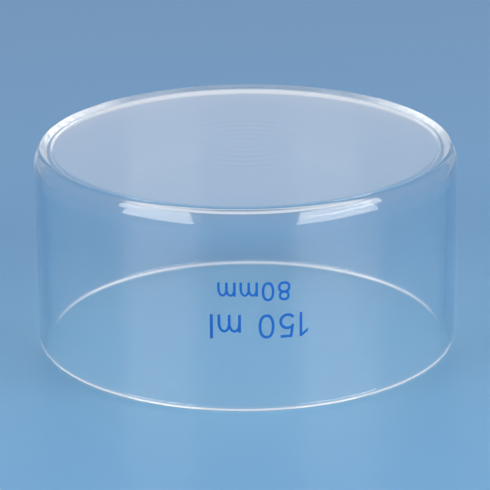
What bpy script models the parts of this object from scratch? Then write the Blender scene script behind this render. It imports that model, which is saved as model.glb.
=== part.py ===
"""Crystallizing dish, 80 mm: a shallow blown-glass laboratory dish with a melted rim and a rounded heel.

The dish stands upside down, as it drains after washing. Metres, +Z up. The origin is the centre of the
rim's circle, on the surface that the rim stands on. The mouth opens towards -Z, the flat base faces +Z,
and the two lines of enamel print face -Y. They read the right way up once the dish stands on its base.
"""

import math

import bmesh
import bpy

# The glass
OUTER_RADIUS = 0.040  # the printed size mark, 80 mm, is the outer diameter
HEIGHT = 0.0385
WALL = 0.0020
BASE = 0.0015
HEEL = (0.00175, 0.0045, 2.1)  # outside of the turn from wall to base: reach, rise and squareness
INNER_HEEL = (0.0020, 0.0047, 2.5)  # squareness 2 is an ellipse
RIM_LAND = 0.0006  # width of the flat that the melted rim stands on
TURN_STEPS = 96  # round the axis
HEEL_STEPS = 8
RIM_STEPS = 4

# The enamel print
PRINT_THICKNESS = 0.0002
PRINT_GAP = 0.00015  # the chords of the letters stay this far off the wall
SIZE_CAP_HEIGHT = 0.0036
SIZE_STROKE = 0.00045
SIZE_BASELINE = 0.0251  # height of the line that the upside-down figures hang from
SIZE_CENTRE = 0.0013  # distance from the front line to the middle of the mark, round the wall, towards +X
CAPACITY_CAP_HEIGHT = 0.0046
CAPACITY_STROKE = 0.0005
CAPACITY_BASELINE = 0.0190
CAPACITY_CENTRE = 0.0022

# Proportions of the letters, as shares of the cap height
DIGIT_WIDTH = 0.61
NARROW_DIGIT_WIDTH = 0.33
M_WIDTH = 0.90
X_HEIGHT = 0.735
SIDE_BEARING = 0.095
OVAL_SQUARENESS = 2.3  # 2 is an ellipse
OVAL_STEPS = 32
ARC_STEPS = 10


def clear_scene():
    for thing in list(bpy.data.objects):
        bpy.data.objects.remove(thing, do_unlink=True)


def principled(name, color, roughness, transmission=0.0, ior=1.5):
    material = bpy.data.materials.new(name)
    material.use_nodes = True
    shader = material.node_tree.nodes["Principled BSDF"]
    shader.inputs["Base Color"].default_value = (*color, 1.0)
    shader.inputs["Roughness"].default_value = roughness
    shader.inputs["Metallic"].default_value = 0.0
    shader.inputs["Transmission Weight"].default_value = transmission
    shader.inputs["IOR"].default_value = ior
    material.diffuse_color = (*color, 1.0)
    return material


def add_object(name, mesh, material):
    mesh.name = name
    mesh.materials.clear()
    mesh.materials.append(material)
    mesh.shade_smooth()
    mesh.set_sharp_from_angle(angle=math.radians(40))
    thing = bpy.data.objects.new(name, mesh)
    bpy.context.scene.collection.objects.link(thing)
    return thing


def arc(centre_x, centre_y, radius_x, radius_y, start, end, steps):
    """Points of an elliptical arc, both ends included. Angles in degrees."""
    points = []
    for step in range(steps + 1):
        angle = math.radians(start + (end - start) * step / steps)
        points.append((centre_x + radius_x * math.cos(angle), centre_y + radius_y * math.sin(angle)))
    return points


# The glass dish


def soft_corner(radius, height, corner):
    """Points of the quarter turn from a wall at this radius up to a base at this height."""
    reach, rise, squareness = corner
    points = []
    for step in range(HEEL_STEPS + 1):
        angle = math.pi / 2 * step / HEEL_STEPS
        inward = reach * (1 - max(0.0, math.cos(angle)) ** (2 / squareness))
        down = rise * (1 - math.sin(angle) ** (2 / squareness))
        points.append((radius - inward, height - down))
    return points


def dish_profile():
    """Radius and height, from the middle of the base's outer face, down the outside and back up the inside."""
    rim_round = (WALL - RIM_LAND) / 2
    inner_radius = OUTER_RADIUS - WALL
    heel = soft_corner(OUTER_RADIUS, HEIGHT, HEEL)
    inner_heel = soft_corner(inner_radius, HEIGHT - BASE, INNER_HEEL)
    outer_rim = arc(OUTER_RADIUS - rim_round, rim_round, rim_round, rim_round, 0, -90, RIM_STEPS)
    inner_rim = arc(inner_radius + rim_round, rim_round, rim_round, rim_round, -90, -180, RIM_STEPS)
    return [(0, HEIGHT), *heel[::-1], *outer_rim, *inner_rim, *inner_heel, (0, HEIGHT - BASE)]


def make_dish(material):
    shape = bmesh.new()
    corners = [shape.verts.new((radius, 0, height)) for radius, height in dish_profile()]
    edges = [shape.edges.new(pair) for pair in zip(corners, corners[1:])]
    bmesh.ops.spin(
        shape,
        geom=corners + edges,
        cent=(0, 0, 0),
        axis=(0, 0, 1),
        angle=math.tau,
        steps=TURN_STEPS,
        use_merge=True,
    )
    bmesh.ops.remove_doubles(shape, verts=shape.verts[:], dist=1e-6)
    bmesh.ops.recalc_face_normals(shape, faces=shape.faces[:])
    mesh = bpy.data.meshes.new("dish")
    shape.to_mesh(mesh)
    shape.free()
    return add_object("glass_dish", mesh, material)


# Outlines of the letters: each returns closed loops in the plane, the outside first and any holes after it


def oval(left, bottom, width, height):
    """A closed loop round a slightly squared oval, such as the outside of a nought."""
    power = 2 / OVAL_SQUARENESS
    points = []
    for step in range(OVAL_STEPS):
        angle = math.tau * step / OVAL_STEPS
        across = math.copysign(abs(math.cos(angle)) ** power, math.cos(angle))
        up = math.copysign(abs(math.sin(angle)) ** power, math.sin(angle))
        points.append((left + width / 2 * (1 + across), bottom + height / 2 * (1 + up)))
    return points


def inside_oval(point, left, bottom, width, height):
    across = abs((point[0] - left) / width * 2 - 1)
    up = abs((point[1] - bottom) / height * 2 - 1)
    return across**OVAL_SQUARENESS + up**OVAL_SQUARENESS < 1


def hollow(left, bottom, width, height, stroke):
    """The size of the hole that a pen of this width leaves in an oval."""
    return left + stroke, bottom + stroke, width - 2 * stroke, height - 2 * stroke


def nought(width, height, stroke):
    whole = (0, 0, width, height)
    return [oval(*whole), oval(*hollow(*whole, stroke))]


def eight(width, height, stroke):
    """A smaller oval on a larger one, sharing one stroke at the waist."""
    lower_height = 0.53 * (height + stroke)
    upper_height = height + stroke - lower_height
    upper_width = 0.88 * width
    waist = (width / 2, lower_height - stroke / 2)
    lower = (0, 0, width, lower_height)
    upper = ((width - upper_width) / 2, height - upper_height, upper_width, upper_height)
    outside = [point for point in oval(*lower) if not inside_oval(point, *upper)]
    outside += [point for point in oval(*upper) if not inside_oval(point, *lower)]
    outside.sort(key=lambda point: math.atan2(point[1] - waist[1], point[0] - waist[0]))
    return [outside, oval(*hollow(*lower, stroke)), oval(*hollow(*upper, stroke))]


def one(width, height, stroke):
    """A stem with a slanting flag at its top left."""
    flag_low = 0.79 * height
    slope = (height - flag_low) / (width - 0.85 * stroke)
    under_flag = flag_low - 1.15 * stroke
    return [
        [
            (width - stroke, 0),
            (width, 0),
            (width, height),
            (width - 0.85 * stroke, height),
            (0, flag_low),
            (0, under_flag),
            (width - stroke, under_flag + slope * (width - stroke)),
        ]
    ]


def five(width, height, stroke):
    """A top bar, a leaning stem and a bowl."""
    middle = (0.46 * width, 0.33 * height)
    outer = (width - middle[0], middle[1])
    inner = (outer[0] - stroke, outer[1] - stroke)
    stem_top = 0.16 * width
    inner_bowl = arc(*middle, *inner, 150, -145, 2 * ARC_STEPS)
    outer_bowl = arc(*middle, *outer, -145, 112, 2 * ARC_STEPS)
    return [
        [
            (0.92 * width, height),
            (0.54 * width, height),
            (stem_top, height),
            (0.04 * width, 0.46 * height),
            *inner_bowl,
            *outer_bowl,
            (stem_top + 0.85 * stroke, height - stroke),
            (0.54 * width, height - stroke),
            (0.92 * width, height - stroke),
        ]
    ]


def small_m(width, height, stroke):
    """Three legs under two arches."""
    span = (width + stroke) / 2  # outer width of one arch
    rise = 0.52 * height
    shoulder = height - rise
    outer = (span / 2, rise)
    inner = (span / 2 - stroke, rise - 0.9 * stroke)
    first_cut = math.degrees(math.acos((stroke - span / 2) / (span / 2)))
    valley = math.degrees(math.acos((span - stroke / 2 - span / 2) / (span / 2)))
    second = span - stroke  # left side of the second arch
    outline = [(0, 0), (0, height), (stroke, height)]
    outline += arc(span / 2, shoulder, *outer, first_cut, valley, ARC_STEPS)
    outline += arc(second + span / 2, shoulder, *outer, 180 - valley, 0, ARC_STEPS)[1:]
    outline += [(width, 0), (width - stroke, 0)]
    outline += arc(second + span / 2, shoulder, *inner, 0, 180, ARC_STEPS)
    outline += [(span, 0), (span - stroke, 0)]
    outline += arc(span / 2, shoulder, *inner, 0, 180, ARC_STEPS)
    outline += [(stroke, 0)]
    return [outline]


def small_l(width, height, stroke):
    return [[(0, 0), (stroke, 0), (stroke, height), (0, height)]]


# Outline, width and height of each letter, with both sizes as shares of the cap height
LETTERS = {
    "0": (nought, DIGIT_WIDTH, 1.0),
    "1": (one, NARROW_DIGIT_WIDTH, 1.0),
    "5": (five, DIGIT_WIDTH, 1.0),
    "8": (eight, DIGIT_WIDTH, 1.0),
    "m": (small_m, M_WIDTH, X_HEIGHT),
    "l": (small_l, None, 1.0),  # as wide as its stroke
}


def plate_from_loops(loops):
    """A flat plate with these outlines, one print thickness thick, centred on the plane."""
    curve = bpy.data.curves.new("outline", "CURVE")
    curve.dimensions = "2D"
    curve.fill_mode = "BOTH"
    curve.extrude = PRINT_THICKNESS / 2
    for loop in loops:
        spline = curve.splines.new("POLY")
        spline.points.add(len(loop) - 1)
        for point, (across, up) in zip(spline.points, loop):
            point.co = (across, up, 0, 1)
        spline.use_cyclic_u = True
    flat = bpy.data.objects.new("outline", curve)
    bpy.context.scene.collection.objects.link(flat)
    mesh = bpy.data.meshes.new_from_object(flat)
    bpy.data.objects.remove(flat, do_unlink=True)
    bpy.data.curves.remove(curve)
    return mesh


def wrap_on_wall(mesh, start, baseline):
    """Bends a flat plate round the wall. It reads towards -X from start, with its top towards -Z."""
    shape = bmesh.new()
    shape.from_mesh(mesh)
    bmesh.ops.remove_doubles(shape, verts=shape.verts[:], dist=1e-6)
    middle_radius = OUTER_RADIUS + PRINT_GAP + PRINT_THICKNESS / 2
    for vertex in shape.verts:
        across, up, out = vertex.co
        angle = (start - across) / OUTER_RADIUS
        radius = middle_radius + out
        vertex.co = (radius * math.sin(angle), -radius * math.cos(angle), baseline - up)
    bmesh.ops.recalc_face_normals(shape, faces=shape.faces[:])
    if shape.calc_volume(signed=True) < 0:
        bmesh.ops.reverse_faces(shape, faces=shape.faces[:])
    shape.to_mesh(mesh)
    shape.free()


def make_mark(pieces, cap_height, stroke, baseline, centre, word_gap, material):
    """One line of print. pieces lists node name and letter, and a name of None is the gap between words."""
    bearing = SIDE_BEARING * cap_height
    widths = []
    for name, letter in pieces:
        if name is None:
            widths.append(word_gap * cap_height)
        else:
            share = LETTERS[letter][1]
            widths.append(stroke if share is None else share * cap_height)
    total = sum(widths) + 2 * bearing * (len(pieces) - 1)
    start = centre + total / 2
    for (name, letter), width in zip(pieces, widths):
        if name is not None:
            outline, _, tall = LETTERS[letter]
            mesh = plate_from_loops(outline(width, tall * cap_height, stroke))
            wrap_on_wall(mesh, start, baseline)
            add_object(name, mesh, material)
        start -= width + 2 * bearing


def main():
    clear_scene()
    glass = principled("clear_borosilicate_glass", (0.93, 0.97, 1.0), 0.02, transmission=1.0, ior=1.474)
    enamel = principled("blue_fired_enamel", (0.013, 0.141, 0.610), 0.35)
    make_dish(glass)
    size_mark = [
        ("size_mark_digit_8", "8"),
        ("size_mark_digit_0", "0"),
        ("size_mark_letter_m_first", "m"),
        ("size_mark_letter_m_second", "m"),
    ]
    capacity_mark = [
        ("capacity_mark_digit_1", "1"),
        ("capacity_mark_digit_5", "5"),
        ("capacity_mark_digit_0", "0"),
        (None, " "),
        ("capacity_mark_letter_m", "m"),
        ("capacity_mark_letter_l", "l"),
    ]
    make_mark(size_mark, SIZE_CAP_HEIGHT, SIZE_STROKE, SIZE_BASELINE, SIZE_CENTRE, 0.0, enamel)
    make_mark(
        capacity_mark, CAPACITY_CAP_HEIGHT, CAPACITY_STROKE, CAPACITY_BASELINE, CAPACITY_CENTRE, 0.3, enamel
    )


main()
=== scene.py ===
import math
import bpy
from mathutils import Matrix, Vector


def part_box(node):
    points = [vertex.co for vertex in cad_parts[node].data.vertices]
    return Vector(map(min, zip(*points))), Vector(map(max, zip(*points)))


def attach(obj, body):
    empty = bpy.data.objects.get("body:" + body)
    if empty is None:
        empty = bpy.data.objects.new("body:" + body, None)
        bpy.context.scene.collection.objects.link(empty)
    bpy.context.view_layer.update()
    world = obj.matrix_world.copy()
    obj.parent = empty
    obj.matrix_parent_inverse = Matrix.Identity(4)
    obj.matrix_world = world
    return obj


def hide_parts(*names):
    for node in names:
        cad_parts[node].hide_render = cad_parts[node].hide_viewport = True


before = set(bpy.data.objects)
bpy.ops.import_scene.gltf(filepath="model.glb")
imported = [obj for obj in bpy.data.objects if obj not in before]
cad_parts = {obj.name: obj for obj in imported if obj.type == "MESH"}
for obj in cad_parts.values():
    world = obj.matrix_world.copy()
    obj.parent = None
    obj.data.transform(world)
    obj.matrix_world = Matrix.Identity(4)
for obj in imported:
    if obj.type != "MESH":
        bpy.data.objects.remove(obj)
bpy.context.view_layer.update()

print("frame loaded:", len(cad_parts), "nodes")


class Wire:
    # an output socket of a node tree, wrapped so that sums on it read as plain arithmetic
    def __init__(self, tree, socket=None):
        self.tree = tree
        self.socket = socket

    def make(self, kind, settings=None, sockets=None):
        # any node: its settings are set first, then the value or the link of each socket
        node = self.tree.nodes.new(kind)
        for name, value in (settings or {}).items():
            if name == "stops":
                ramp = node.color_ramp.elements
                while len(ramp) < len(value):
                    ramp.new(1.0)
                for stop, (place, color) in zip(ramp, value):
                    stop.position = place
                    stop.color = color
            else:
                setattr(node, name, value)
        for name, value in (sockets or {}).items():
            if isinstance(value, Wire):
                self.tree.links.new(value.socket, node.inputs[name])
            else:
                node.inputs[name].default_value = value
        used = [socket for socket in node.outputs if socket.enabled]
        return Wire(self.tree, used[0] if used else None)

    def other(self, name):
        # another output of the same node
        return Wire(self.tree, self.socket.node.outputs[name])

    def sum(self, operation, first, second):
        return self.make("ShaderNodeMath", {"operation": operation}, {0: first, 1: second})

    def __add__(self, other):
        return self.sum("ADD", self, other)

    def __radd__(self, other):
        return self.sum("ADD", other, self)

    def __sub__(self, other):
        return self.sum("SUBTRACT", self, other)

    def __rsub__(self, other):
        return self.sum("SUBTRACT", other, self)

    def __mul__(self, other):
        return self.sum("MULTIPLY", self, other)

    def __rmul__(self, other):
        return self.sum("MULTIPLY", other, self)

    def __truediv__(self, other):
        return self.sum("DIVIDE", self, other)


def newMaterial(name):
    # a material with an empty tree, its wrapped tree and its output node
    material = bpy.data.materials.new(name)
    material.use_nodes = True
    tree = material.node_tree
    tree.nodes.clear()
    return material, Wire(tree), tree.nodes.new("ShaderNodeOutputMaterial")


# Glass: clear borosilicate, faintly wavy where it was worked hot
glassLook = {
    "color": (0.985, 0.995, 1.0, 1.0),
    "ior": 1.473,
    "roughness": 0.05,
    "drawnWave": 0.004,  # strength of the long waves left by drawing the tube
    "waveScale": 90.0,
    "waveHeight": 0.0005,
    "shadowEdge": 14.0,  # higher leaves a thinner shadow where the glass is seen edge on
    "lampTint": (0.64, 0.64, 0.65, 1.0),  # what one face lets through to a lamp
}


def makeGlass():
    material, tree, output = newMaterial("clearBorosilicateGlass")
    place = tree.make("ShaderNodeTexCoord").other("Object")
    stretched = tree.make("ShaderNodeMapping", {}, {"Vector": place, "Scale": (1.0, 1.0, 0.25)})
    wave = tree.make(
        "ShaderNodeTexNoise", {}, {"Vector": stretched, "Scale": glassLook["waveScale"], "Detail": 1.0}
    )
    bump = tree.make(
        "ShaderNodeBump",
        {},
        {"Strength": glassLook["drawnWave"], "Distance": glassLook["waveHeight"], "Height": wave},
    )
    shader = tree.make(
        "ShaderNodeBsdfPrincipled",
        {},
        {
            "Base Color": glassLook["color"],
            "Roughness": glassLook["roughness"],
            "IOR": glassLook["ior"],
            "Transmission Weight": 1.0,
            "Normal": bump,
        },
    )
    # light from the lamps passes straight through, apart from where the glass is seen edge on
    clear = tree.make("ShaderNodeBsdfTransparent", {}, {"Color": glassLook["lampTint"]})
    lamp = tree.make("ShaderNodeLightPath").other("Is Shadow Ray")
    facing = tree.make("ShaderNodeLayerWeight", {}, {"Blend": 0.5}).other("Facing")
    clearness = 1.0 - tree.sum("POWER", facing, glassLook["shadowEdge"])
    surface = tree.make("ShaderNodeMixShader", {}, {0: lamp * clearness, 1: shader, 2: clear})
    tree.tree.links.new(surface.socket, output.inputs["Surface"])
    return material


# Enamel: printed through a screen and fired on
enamelLook = {
    "color": (0.004, 0.103, 0.420, 1.0),
    "thinColor": (0.008, 0.132, 0.480, 1.0),
    "grainScale": 6000.0,
    "grainBump": 0.15,
    "grainHeight": 0.00002,
    "roughness": 0.32,
    "roughnessSpread": 0.2,
    "shine": 0.25,
}


def makeEnamel():
    material, tree, output = newMaterial("blueFiredEnamel")
    place = tree.make("ShaderNodeTexCoord").other("Object")
    grain = tree.make(
        "ShaderNodeTexNoise", {}, {"Vector": place, "Scale": enamelLook["grainScale"], "Detail": 3.0}
    )
    color = tree.make(
        "ShaderNodeMix",
        {"data_type": "RGBA"},
        {0: grain, 6: enamelLook["color"], 7: enamelLook["thinColor"]},
    )
    color = Wire(tree.tree, color.socket.node.outputs[2])
    bump = tree.make(
        "ShaderNodeBump",
        {},
        {"Strength": enamelLook["grainBump"], "Distance": enamelLook["grainHeight"], "Height": grain},
    )
    shader = tree.make(
        "ShaderNodeBsdfPrincipled",
        {},
        {
            "Base Color": color,
            "Roughness": enamelLook["roughness"] + enamelLook["roughnessSpread"] * grain,
            "Specular IOR Level": enamelLook["shine"],
            "Normal": bump,
        },
    )
    tree.tree.links.new(shader.socket, output.inputs["Surface"])
    return material


mergeDistance = 0.0000005  # closes the seams that building a shape leaves


def newGeometryTree(name, inputs):
    # a Geometry Nodes tree; inputs maps each named input to its socket type, after the geometry
    tree = bpy.data.node_groups.new(name, "GeometryNodeTree")
    tree.interface.new_socket("Geometry", in_out="INPUT", socket_type="NodeSocketGeometry")
    for label, kind in inputs.items():
        tree.interface.new_socket(label, in_out="INPUT", socket_type=kind)
    tree.interface.new_socket("Geometry", in_out="OUTPUT", socket_type="NodeSocketGeometry")
    given = Wire(tree).make("NodeGroupInput")
    output = tree.nodes.new("NodeGroupOutput")
    return tree, given, output


def finishGeometryTree(given, output, geometry):
    # plain faces with their material, whatever came before
    real = given.make("GeometryNodeRealizeInstances", {}, {"Geometry": geometry})
    painted = given.make(
        "GeometryNodeSetMaterial", {}, {"Geometry": real, "Material": given.other("Material")}
    )
    given.tree.links.new(painted.socket, output.inputs["Geometry"])


def runTree(source, tree, values, name):
    # runs a tree on a source object, and returns the result as a plain mesh object at the origin
    modifier = source.modifiers.new("shape", "NODES")
    modifier.node_group = tree
    for item in tree.interface.items_tree:
        if item.item_type == "SOCKET" and item.in_out == "INPUT" and item.name in values:
            modifier[item.identifier] = values[item.name]
    graph = bpy.context.evaluated_depsgraph_get()
    mesh = bpy.data.meshes.new_from_object(source.evaluated_get(graph))
    mesh.name = name
    bpy.data.objects.remove(source, do_unlink=True)
    piece = bpy.data.objects.new(name, mesh)
    bpy.context.scene.collection.objects.link(piece)
    return piece


def flatCurve(name, loops, closed):
    # an object holding one poly spline for each loop of points
    curve = bpy.data.curves.new(name, "CURVE")
    curve.dimensions = "3D"
    for loop in loops:
        spline = curve.splines.new("POLY")
        spline.points.add(len(loop) - 1)
        for point, place in zip(spline.points, loop):
            point.co = (*place, 1.0)
        spline.use_cyclic_u = closed
    source = bpy.data.objects.new(name, curve)
    bpy.context.scene.collection.objects.link(source)
    return source


def arc(centerX, centerY, radiusX, radiusY, start, end, steps):
    # points of an elliptical arc, both ends included, angles in degrees
    points = []
    for step in range(steps + 1):
        angle = math.radians(start + (end - start) * step / steps)
        points.append((centerX + radiusX * math.cos(angle), centerY + radiusY * math.sin(angle)))
    return points


def between(start, end, steps):
    # points on a straight line after its start, its end included
    return [
        tuple(a + (b - a) * step / steps for a, b in zip(start, end)) for step in range(1, steps + 1)
    ]


# The dish: an outline turned round the axis
dishSizes = {
    "wall": 0.0020,
    "base": 0.0015,
    "heel": (0.00175, 0.0045, 2.1),  # reach, rise and squareness of the turn from wall to base
    "innerHeel": (0.0020, 0.0047, 2.5),  # squareness 2 is an ellipse
    "turnSteps": 480,
    "rippleSteps": 80,
    "wallSteps": 4,
    "heelSteps": 36,
    "lipSteps": 20,
    "rippleHeight": 0.000006,  # rings left in the base where it was flattened hot
    "rippleSpacing": 0.0028,
    "rippleReach": 0.021,
    "rippleFade": 0.5,  # share of the reach where the rings start to fade
    "topMargin": 0.00001,  # points this close to the top count as on it
}


def softCorner(radius, height, corner, steps):
    # points of a quarter turn from the wall up to the base, for a wall at radius and a base at height
    reach, rise, squareness = corner
    points = []
    for step in range(steps + 1):
        angle = math.pi / 2 * step / steps
        inward = reach * (1 - max(0.0, math.cos(angle)) ** (2 / squareness))
        down = rise * (1 - math.sin(angle) ** (2 / squareness))
        points.append((radius - inward, height - down))
    return points


def dishOutline(outerRadius, height):
    # from the middle of the base's outer face, down the outside and back up the inside
    size = dishSizes
    lip = size["wall"] / 2
    innerRadius = outerRadius - size["wall"]
    outerTurn = softCorner(outerRadius, height, size["heel"], size["heelSteps"])
    innerTurn = softCorner(innerRadius, height - size["base"], size["innerHeel"], size["heelSteps"])
    line = [(0.0, height)]
    line += between(line[-1], (size["rippleReach"], height), size["rippleSteps"])
    line += between(line[-1], outerTurn[-1], size["wallSteps"])
    line += outerTurn[-2::-1]
    line += between(line[-1], (outerRadius, lip), size["wallSteps"])
    line += arc(outerRadius - lip, lip, lip, lip, 0, -180, size["lipSteps"])[1:]
    line += between(line[-1], innerTurn[0], size["wallSteps"])
    line += innerTurn[1:]
    line += between(line[-1], (0.0, height - size["base"]), size["wallSteps"])
    return [(radius, 0.0, up) for radius, up in line]


def makeTurningTree():
    # turns a curve in the XZ plane round Z, and presses faint rings into its upper face
    tree, given, output = newGeometryTree(
        "turnedGlass",
        {
            "Turn Steps": "NodeSocketInt",
            "Top": "NodeSocketFloat",
            "Ripple Height": "NodeSocketFloat",
            "Ripple Spacing": "NodeSocketFloat",
            "Ripple Reach": "NodeSocketFloat",
            "Material": "NodeSocketMaterial",
        },
    )
    outline = given.other("Geometry")
    count = given.make(
        "GeometryNodeAttributeDomainSize", {"component": "CURVE"}, {"Geometry": outline}
    )
    steps = given.other("Turn Steps")
    grid = given.make(
        "GeometryNodeMeshGrid",
        {},
        {"Size X": 1.0, "Size Y": 1.0, "Vertices X": steps + 1.0, "Vertices Y": count},
    )
    index = given.make("GeometryNodeInputIndex")
    along = given.sum("FLOORED_MODULO", index, count)
    around = given.sum("DIVIDE", index - along, count)
    place = given.make("GeometryNodeInputPosition")
    point = given.make(
        "GeometryNodeSampleIndex",
        {"data_type": "FLOAT_VECTOR", "domain": "POINT"},
        {"Geometry": outline, "Value": place, "Index": along},
    )
    split = given.make("ShaderNodeSeparateXYZ", {}, {0: point})
    radius = split.other("X")
    up = split.other("Z")
    reach = given.other("Ripple Reach")
    fade = given.make(
        "ShaderNodeMapRange",
        {"interpolation_type": "SMOOTHSTEP"},
        {
            "Value": radius / reach,
            "From Min": dishSizes["rippleFade"],
            "From Max": 1.0,
            "To Min": 1.0,
            "To Max": 0.0,
        },
    )
    onTop = given.sum("GREATER_THAN", up, given.other("Top") - dishSizes["topMargin"])
    phase = radius / given.other("Ripple Spacing") * math.tau
    rings = given.sum("COSINE", phase, 0.0) * given.other("Ripple Height") * fade * onTop
    angle = around / steps * math.tau
    turned = given.make(
        "ShaderNodeCombineXYZ",
        {},
        {
            "X": radius * given.sum("COSINE", angle, 0.0),
            "Y": radius * given.sum("SINE", angle, 0.0),
            "Z": up + rings,
        },
    )
    moved = given.make("GeometryNodeSetPosition", {}, {"Geometry": grid, "Position": turned})
    closed = given.make("GeometryNodeMergeByDistance", {}, {"Geometry": moved, "Distance": mergeDistance})
    smooth = given.make("GeometryNodeSetShadeSmooth", {}, {"Geometry": closed})
    finishGeometryTree(given, output, smooth)
    return tree


def signedVolume(mesh):
    # positive when the faces point outwards
    total = 0.0
    mesh.calc_loop_triangles()
    for triangle in mesh.loop_triangles:
        a, b, c = (mesh.vertices[corner].co for corner in triangle.vertices)
        total += a.dot(b.cross(c))
    return total


def faceOutwards(piece):
    if signedVolume(piece.data) < 0:
        piece.data.flip_normals()


def makeDish(glass):
    low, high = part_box("glass_dish")
    outline = dishOutline(high[0], high[2])
    source = flatCurve("dishOutline", [outline], False)
    dish = runTree(
        source,
        makeTurningTree(),
        {
            "Turn Steps": dishSizes["turnSteps"],
            "Top": high[2],
            "Ripple Height": dishSizes["rippleHeight"],
            "Ripple Spacing": dishSizes["rippleSpacing"],
            "Ripple Reach": dishSizes["rippleReach"],
            "Material": glass,
        },
        "dishGlass",
    )
    faceOutwards(dish)
    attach(dish, "root")
    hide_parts("glass_dish")
    return dish


# The print: each letter is a thin plate of enamel that follows the wall
printSizes = {
    "thickness": 0.00003,
    "lift": 0.00002,  # keeps the chords of the letters clear of the glass
    "sizeStroke": 0.00045,
    "capacityStroke": 0.0005,
    "ovalSquareness": 2.3,  # 2 is an ellipse
    "ovalSteps": 56,
    "arcSteps": 16,
    "waist": 0.53,  # share of a figure eight below its waist
    "shoulder": 0.52,  # share of a small m that its arches take
    "arch": 0.9,  # thickness of those arches, in strokes
    "eightTop": 0.88,  # width of the upper oval of a figure eight, next to the lower one
    "flagLow": 0.79,  # where the flag of a figure one ends, as a share of its height
    "flagTop": 0.85,  # width of that flag at its top, in strokes
    "flagDepth": 1.15,  # depth of that flag at its end, in strokes
    "bowl": (0.46, 0.33),  # middle of a figure five's bowl, as shares of its width and height
    "bowlEnds": (150, -145, 112),  # the angles at which the bowl starts, turns back and ends
    "fiveBar": (0.92, 0.73, 0.54, 0.35),  # points along its top bar, as shares of its width
    "fiveStem": (0.16, 0.04, 0.46),  # left of its stem at the top, then left and height of the foot
    "fiveStroke": 0.85,  # width of the stem, in strokes
}


def oval(left, bottom, width, height):
    power = 2 / printSizes["ovalSquareness"]
    points = []
    for step in range(printSizes["ovalSteps"]):
        angle = math.tau * step / printSizes["ovalSteps"]
        across = math.copysign(abs(math.cos(angle)) ** power, math.cos(angle))
        up = math.copysign(abs(math.sin(angle)) ** power, math.sin(angle))
        points.append((left + width / 2 * (1 + across), bottom + height / 2 * (1 + up)))
    return points


def insideOval(point, left, bottom, width, height):
    across = abs((point[0] - left) / width * 2 - 1)
    up = abs((point[1] - bottom) / height * 2 - 1)
    squareness = printSizes["ovalSquareness"]
    return across**squareness + up**squareness < 1


def hollow(left, bottom, width, height, stroke):
    # the hole that a pen of this width leaves in an oval
    return left + stroke, bottom + stroke, width - 2 * stroke, height - 2 * stroke


def nought(width, height, stroke):
    whole = (0, 0, width, height)
    return [oval(*whole), oval(*hollow(*whole, stroke))]


def eight(width, height, stroke):
    # a smaller oval on a larger one, sharing one stroke at the waist
    lowerHeight = printSizes["waist"] * (height + stroke)
    upperHeight = height + stroke - lowerHeight
    upperWidth = printSizes["eightTop"] * width
    waist = (width / 2, lowerHeight - stroke / 2)
    lower = (0, 0, width, lowerHeight)
    upper = ((width - upperWidth) / 2, height - upperHeight, upperWidth, upperHeight)
    outside = [point for point in oval(*lower) if not insideOval(point, *upper)]
    outside += [point for point in oval(*upper) if not insideOval(point, *lower)]
    outside.sort(key=lambda point: math.atan2(point[1] - waist[1], point[0] - waist[0]))
    return [outside, oval(*hollow(*lower, stroke)), oval(*hollow(*upper, stroke))]


def one(width, height, stroke):
    # a stem with a slanting flag at its top left
    flagTop = printSizes["flagTop"] * stroke
    flagLow = printSizes["flagLow"] * height
    slope = (height - flagLow) / (width - flagTop)
    underFlag = flagLow - printSizes["flagDepth"] * stroke
    stem = width - stroke
    return [
        [
            (stem, 0),
            (width, 0),
            (width, height),
            (width - flagTop, height),
            (0, flagLow),
            (0, underFlag),
            (stem, underFlag + slope * stem),
        ]
    ]


def five(width, height, stroke):
    # a top bar, a leaning stem and a bowl
    across, up = printSizes["bowl"]
    middle = (across * width, up * height)
    outer = (width - middle[0], middle[1])
    inner = (outer[0] - stroke, outer[1] - stroke)
    stemTop, footLeft, footHeight = printSizes["fiveStem"]
    start, back, end = printSizes["bowlEnds"]
    steps = 2 * printSizes["arcSteps"]
    bar = [(across * width, height) for across in printSizes["fiveBar"]]
    return [
        [
            *bar,
            (stemTop * width, height),
            (footLeft * width, footHeight * height),
            *arc(*middle, *inner, start, back, steps),
            *arc(*middle, *outer, back, end, steps),
            (stemTop * width + printSizes["fiveStroke"] * stroke, height - stroke),
            *[(across, up - stroke) for across, up in reversed(bar[:3])],
        ]
    ]


def smallM(width, height, stroke):
    # three legs under two arches
    steps = printSizes["arcSteps"]
    span = (width + stroke) / 2  # outer width of one arch
    half = span / 2
    rise = printSizes["shoulder"] * height
    shoulder = height - rise
    outer = (half, rise)
    inner = (half - stroke, rise - printSizes["arch"] * stroke)
    firstCut = math.degrees(math.acos((stroke - half) / half))
    valley = math.degrees(math.acos((half - stroke / 2) / half))
    second = span - stroke  # left side of the second arch
    outline = [(0, 0), (0, height), (stroke, height)]
    outline += arc(half, shoulder, *outer, firstCut, valley, steps)
    outline += arc(second + half, shoulder, *outer, 180 - valley, 0, steps)[1:]
    outline += [(width, 0), (width - stroke, 0)]
    outline += arc(second + half, shoulder, *inner, 0, 180, steps)
    outline += [(span, 0), (second, 0)]
    outline += arc(half, shoulder, *inner, 0, 180, steps)
    outline += [(stroke, 0)]
    return [outline]


def smallL(width, height, stroke):
    return [[(0, 0), (width, 0), (width, height), (0, height)]]


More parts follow.
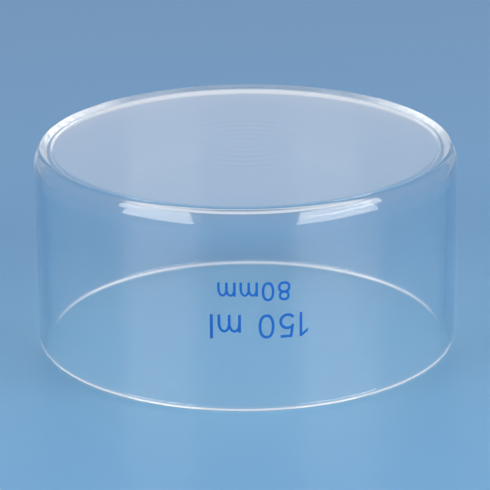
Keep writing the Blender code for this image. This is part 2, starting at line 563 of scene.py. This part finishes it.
def makeWrappingTree():
    # fills flat outlines, thickens them and bends them round the wall, reading towards -X
    tree, given, output = newGeometryTree(
        "printOnWall",
        {
            "Wall Radius": "NodeSocketFloat",
            "Lift": "NodeSocketFloat",
            "Thickness": "NodeSocketFloat",
            "Start": "NodeSocketFloat",
            "Baseline": "NodeSocketFloat",
            "Material": "NodeSocketMaterial",
        },
    )
    face = given.make("GeometryNodeFillCurve", {"mode": "TRIANGLES"}, {"Curve": given.other("Geometry")})
    up = given.make("ShaderNodeCombineXYZ", {}, {"X": 0.0, "Y": 0.0, "Z": 1.0})
    lid = given.make(
        "GeometryNodeExtrudeMesh",
        {"mode": "FACES"},
        {"Mesh": face, "Offset": up, "Offset Scale": given.other("Thickness"), "Individual": False},
    )
    under = given.make("GeometryNodeFlipFaces", {}, {"Mesh": face})
    join = given.make("GeometryNodeJoinGeometry", {}, {"Geometry": lid})
    given.tree.links.new(under.socket, join.socket.node.inputs["Geometry"])
    closed = given.make("GeometryNodeMergeByDistance", {}, {"Geometry": join, "Distance": mergeDistance})
    place = given.make("GeometryNodeInputPosition")
    split = given.make("ShaderNodeSeparateXYZ", {}, {0: place})
    wall = given.other("Wall Radius")
    angle = (given.other("Start") - split) / wall
    radius = wall + given.other("Lift") + split.other("Z")
    bent = given.make(
        "ShaderNodeCombineXYZ",
        {},
        {
            "X": radius * given.sum("SINE", angle, 0.0),
            "Y": radius * given.sum("COSINE", angle, 0.0) * -1.0,
            "Z": given.other("Baseline") - split.other("Y"),
        },
    )
    wrapped = given.make("GeometryNodeSetPosition", {}, {"Geometry": closed, "Position": bent})
    finishGeometryTree(given, output, wrapped)
    return tree


def printLetter(tree, enamel, name, node, outline, stroke):
    # the letter fills the width and height of its CAD plate, at the plate's place on the wall
    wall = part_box("glass_dish")[1][0]
    low, high = (Vector(corner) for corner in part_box(node))
    places = [math.asin(max(-1.0, min(1.0, edge / wall))) * wall for edge in (low[0], high[0])]
    width = places[1] - places[0]
    loops = outline(width, high[2] - low[2], stroke)
    source = flatCurve(name, [[(*point, 0.0) for point in loop] for loop in loops], True)
    values = {
        "Wall Radius": wall,
        "Lift": printSizes["lift"],
        "Thickness": printSizes["thickness"],
        "Start": places[1],
        "Baseline": high[2],
        "Material": enamel,
    }
    letter = runTree(source, tree, values, name)
    faceOutwards(letter)
    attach(letter, "root")
    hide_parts(node)
    return letter


def makePrint(enamel):
    tree = makeWrappingTree()
    sizeStroke = printSizes["sizeStroke"]
    capacityStroke = printSizes["capacityStroke"]
    letters = [
        ("sizePrint8", "size_mark_digit_8", eight, sizeStroke),
        ("sizePrint0", "size_mark_digit_0", nought, sizeStroke),
        ("sizePrintFirstM", "size_mark_letter_m_first", smallM, sizeStroke),
        ("sizePrintSecondM", "size_mark_letter_m_second", smallM, sizeStroke),
        ("capacityPrint1", "capacity_mark_digit_1", one, capacityStroke),
        ("capacityPrint5", "capacity_mark_digit_5", five, capacityStroke),
        ("capacityPrint0", "capacity_mark_digit_0", nought, capacityStroke),
        ("capacityPrintM", "capacity_mark_letter_m", smallM, capacityStroke),
        ("capacityPrintL", "capacity_mark_letter_l", smallL, capacityStroke),
    ]
    for name, node, outline, stroke in letters:
        printLetter(tree, enamel, name, node, outline, stroke)


# The ground: one large sheet of matt paper
floorLook = {
    "radius": 1.6,
    "sides": 96,
    "color": (0.158, 0.358, 0.588, 1.0),
    "roughness": 0.38,
    "roughnessSpread": 0.02,
    "fibreScale": 900.0,
    "shine": 0.29,
}


def makeFloor():
    material, tree, output = newMaterial("palePaper")
    place = tree.make("ShaderNodeTexCoord").other("Object")
    fibre = tree.make(
        "ShaderNodeTexNoise", {}, {"Vector": place, "Scale": floorLook["fibreScale"], "Detail": 4.0}
    )
    shader = tree.make(
        "ShaderNodeBsdfPrincipled",
        {},
        {
            "Base Color": floorLook["color"],
            "Roughness": floorLook["roughness"] + floorLook["roughnessSpread"] * fibre,
            "Specular IOR Level": floorLook["shine"],
        },
    )
    tree.tree.links.new(shader.socket, output.inputs["Surface"])
    reach = floorLook["radius"]
    sides = floorLook["sides"]
    turns = [math.tau * step / sides for step in range(sides)]
    ring = [(reach * math.cos(turn), reach * math.sin(turn), 0.0) for turn in turns]
    mesh = bpy.data.meshes.new("studioFloor")
    mesh.from_pydata(ring, [], [list(range(sides))])
    mesh.materials.append(material)
    floor = bpy.data.objects.new("studioFloor", mesh)
    bpy.context.scene.collection.objects.link(floor)
    return floor


def directionTo(azimuth, elevation):
    # azimuth 0 is towards -Y, the front, and grows towards +X
    turn = math.radians(azimuth)
    lift = math.radians(elevation)
    return Vector((math.sin(turn) * math.cos(lift), -math.cos(turn) * math.cos(lift), math.sin(lift)))


# Softboxes: leaning screens on both sides; a corner is an azimuth, an elevation and a distance
softboxLook = {
    "left": {
        "corners": [(-27.0, 15.0, 0.60), (-69.0, 15.0, 0.60), (-73.0, 37.0, 0.60), (-32.0, 36.0, 0.60)],
        "color": (1.0, 0.93, 0.82),
        "strength": 8.3,
    },
    "right": {
        "corners": [(26.0, 10.5, 0.60), (74.0, 13.0, 0.60), (80.0, 38.0, 0.60), (30.0, 32.0, 0.60)],
        "color": (1.0, 0.93, 0.82),
        "strength": 8.3,
    },
}


def glowingSheet(name, corners, color, strength):
    material, tree, output = newMaterial(name)
    glow = tree.make("ShaderNodeEmission", {}, {"Color": (*color, 1.0), "Strength": strength})
    tree.tree.links.new(glow.socket, output.inputs["Surface"])
    mesh = bpy.data.meshes.new(name)
    mesh.from_pydata(corners, [], [list(range(len(corners)))])
    mesh.materials.append(material)
    sheet = bpy.data.objects.new(name, mesh)
    sheet.visible_camera = False
    bpy.context.scene.collection.objects.link(sheet)
    return sheet


def makeSoftboxes():
    for side, look in softboxLook.items():
        corners = [directionTo(turn, lift) * away for turn, lift, away in look["corners"]]
        glowingSheet(side + "Softbox", corners, look["color"], look["strength"])


# A low bright wall close behind the dish
panelLook = {
    "left": -0.17,
    "right": 0.15,
    "behind": 0.33,
    "top": 0.225,
    "color": (0.92, 0.96, 1.05),
    "strength": 0.82,
}


def makeRearPanel():
    look = panelLook
    corners = [
        (look["left"], look["behind"], 0.0),
        (look["right"], look["behind"], 0.0),
        (look["right"], look["behind"], look["top"]),
        (look["left"], look["behind"], look["top"]),
    ]
    panel = glowingSheet("rearPanel", corners, look["color"], look["strength"])
    panel.visible_diffuse = False


# The sky: even blue light from all round
skyLook = {"color": (0.27, 0.385, 0.525, 1.0)}


def makeSky():
    world = bpy.data.worlds.new("studioSky")
    bpy.context.scene.world = world
    world.use_nodes = True
    world.node_tree.nodes.clear()
    tree = Wire(world.node_tree)
    light = tree.make("ShaderNodeBackground", {}, {"Color": skyLook["color"], "Strength": 1.0})
    output = world.node_tree.nodes.new("ShaderNodeOutputWorld")
    tree.tree.links.new(light.socket, output.inputs["Surface"])


# The camera
cameraView = {
    "distance": 0.535,
    "elevation": 19.73,
    "roll": -0.52,
    "lens": 205.4,
    "sensor": 36.0,
    "aim": (-0.000205, 0.0, 0.01785),
    "near": 0.01,
    "far": 10.0,
}


def makeCamera():
    camera = bpy.data.cameras.new("studioCamera")
    camera.lens = cameraView["lens"]
    camera.sensor_width = cameraView["sensor"]
    camera.clip_start = cameraView["near"]
    camera.clip_end = cameraView["far"]
    holder = bpy.data.objects.new("studioCamera", camera)
    away = directionTo(0.0, cameraView["elevation"])
    lift = math.radians(cameraView["elevation"])
    up = Vector((0, math.sin(lift), math.cos(lift)))
    right = up.cross(away)
    roll = math.radians(cameraView["roll"])
    rolledRight = right * math.cos(roll) + up * math.sin(roll)
    rolledUp = up * math.cos(roll) - right * math.sin(roll)
    turn = Matrix((rolledRight, rolledUp, away)).transposed().to_4x4()
    place = Vector(cameraView["aim"]) + away * cameraView["distance"]
    holder.matrix_world = Matrix.Translation(place) @ turn
    bpy.context.scene.collection.objects.link(holder)
    bpy.context.scene.camera = holder


lightPaths = {
    "bounces": 64,  # light runs a long way round inside the wall and the base
    "transparentBounces": 24,
}


def setLook():
    scene = bpy.context.scene
    scene.view_settings.view_transform = "Standard"
    scene.cycles.use_denoising = True
    scene.cycles.caustics_refractive = True
    scene.cycles.caustics_reflective = False
    scene.cycles.max_bounces = lightPaths["bounces"]
    scene.cycles.transmission_bounces = lightPaths["bounces"]
    scene.cycles.glossy_bounces = lightPaths["bounces"]
    scene.cycles.transparent_max_bounces = lightPaths["transparentBounces"]


makeDish(makeGlass())
print("dish turned")
makePrint(makeEnamel())
print("print fired on")
makeFloor()
makeSoftboxes()
makeRearPanel()
makeSky()
makeCamera()
setLook()
print("studio set")
